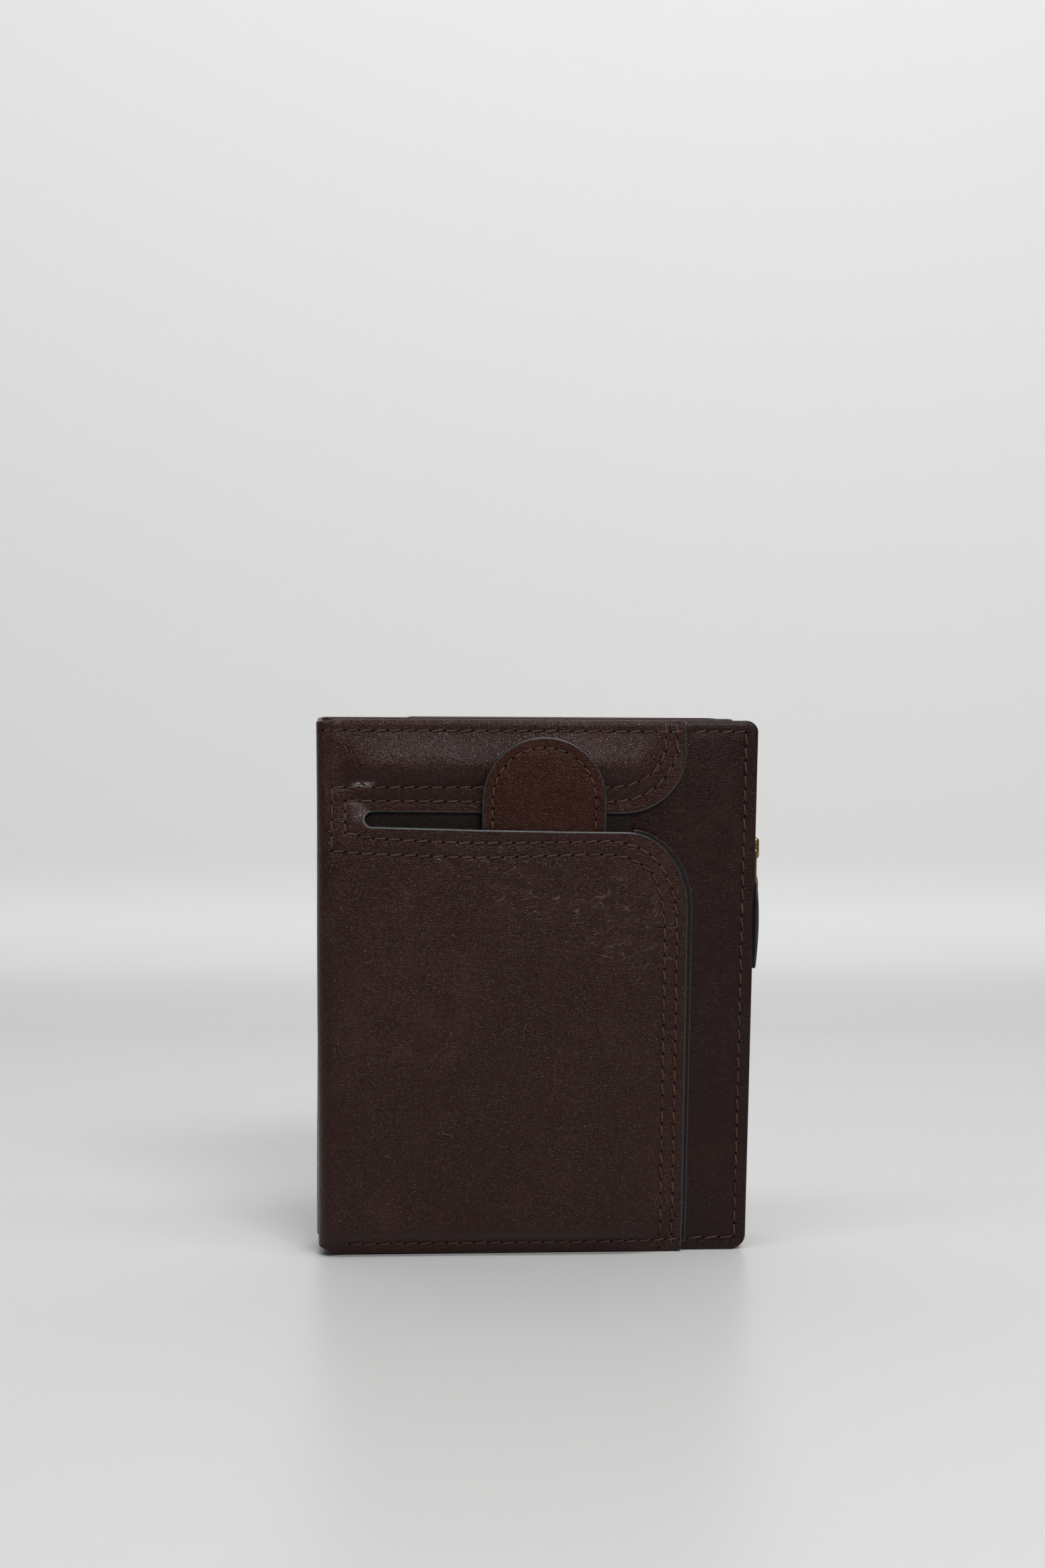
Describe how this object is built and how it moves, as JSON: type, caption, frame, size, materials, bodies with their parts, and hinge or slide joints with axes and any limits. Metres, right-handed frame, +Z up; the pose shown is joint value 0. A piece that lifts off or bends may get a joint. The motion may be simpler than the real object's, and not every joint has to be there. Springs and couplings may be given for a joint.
{
  "type": "trifold wallet",
  "caption": "Upright leather trifold wallet with a slit cover, a pull-tab card sleeve, an edge zip and folding leaves.",
  "frame": {"origin": "centre of the folded wallet's footprint, at the base it stands on", "axes": "+Z up along the height, -Y out of the decorated cover, X across the width"},
  "size_m": [0.1004, 0.022, 0.12],
  "materials": {
    "leather": "semi-gloss dark brown full-grain leather, fine pebble grain",
    "leather_tab": "satin chestnut leather with painted edge",
    "leather_lining": "matte dark brown lining leather",
    "lining_fabric": "matte woven lining",
    "zip_tape": "matte woven tape",
    "brass": "polished, lightly tarnished",
    "film": "clear glossy film"
  },
  "bodies": {
    "cover": {"cover_overlay": "leather", "overlay_backing": "leather_lining", "sleeve_pocket_lining": "leather_lining", "cover_base_panel": "leather", "coin_pocket_front_lining": "lining_fabric", "coin_pocket_rear_lining": "lining_fabric", "zip_tape_front": "zip_tape", "zip_tape_rear": "zip_tape", "zip_teeth_front": "brass", "zip_teeth_rear": "brass", "zip_top_stop": "brass", "zip_bottom_stop": "brass", "cover_inner_panel": "leather", "cover_card_pocket_upper": "leather", "cover_card_pocket_middle": "leather", "cover_card_pocket_lower": "leather"},
    "card_sleeve": {"card_sleeve_back": "leather_tab", "card_sleeve_frame": "leather_tab", "card_sleeve_window": "film", "pull_tab": "leather_tab"},
    "zip_slider": {"zip_slider": "brass"},
    "zip_puller": {"pull_link": "brass", "puller_leather": "leather_tab"},
    "middle": {"middle_card_pocket_lower": "leather", "middle_card_pocket_middle": "leather", "middle_card_pocket_upper": "leather", "middle_front_panel": "leather", "bill_divider": "lining_fabric", "middle_outer_panel": "leather", "left_spine_leather": "leather", "right_spine_leather": "leather"},
    "rear_leaf": {"id_window_frame": "leather", "id_window_film": "film", "leaf_inner_panel": "lining_fabric", "leaf_outer_panel": "leather", "leaf_slip_pocket": "leather"}
  },
  "joints": [
    {"name": "cover_fold", "type": "hinge", "parent": "middle", "child": "cover", "pos_m": [-0.0472, 0.00125, 0.06], "axis": [0, 0, -1], "range_deg": [0, 180], "deforming": ["left_spine_leather"]},
    {"name": "rear_leaf_fold", "type": "hinge", "parent": "middle", "child": "rear_leaf", "pos_m": [0.0458, 0.00685, 0.06], "axis": [0, 0, -1], "range_deg": [0, 180], "deforming": ["right_spine_leather"]},
    {"name": "sleeve_slide", "type": "slide", "parent": "cover", "child": "card_sleeve", "axis": [0, 0, 1], "range_m": [0, 0.06]},
    {"name": "zip_slide", "type": "slide", "parent": "cover", "child": "zip_slider", "axis": [0, 0, -1], "range_m": [0, 0.072]},
    {"name": "puller_swing", "type": "hinge", "parent": "zip_slider", "child": "zip_puller", "pos_m": [0.0492, -0.00355, 0.0903], "axis": [0, -1, 0], "range_deg": [0, 150]}
  ]
}
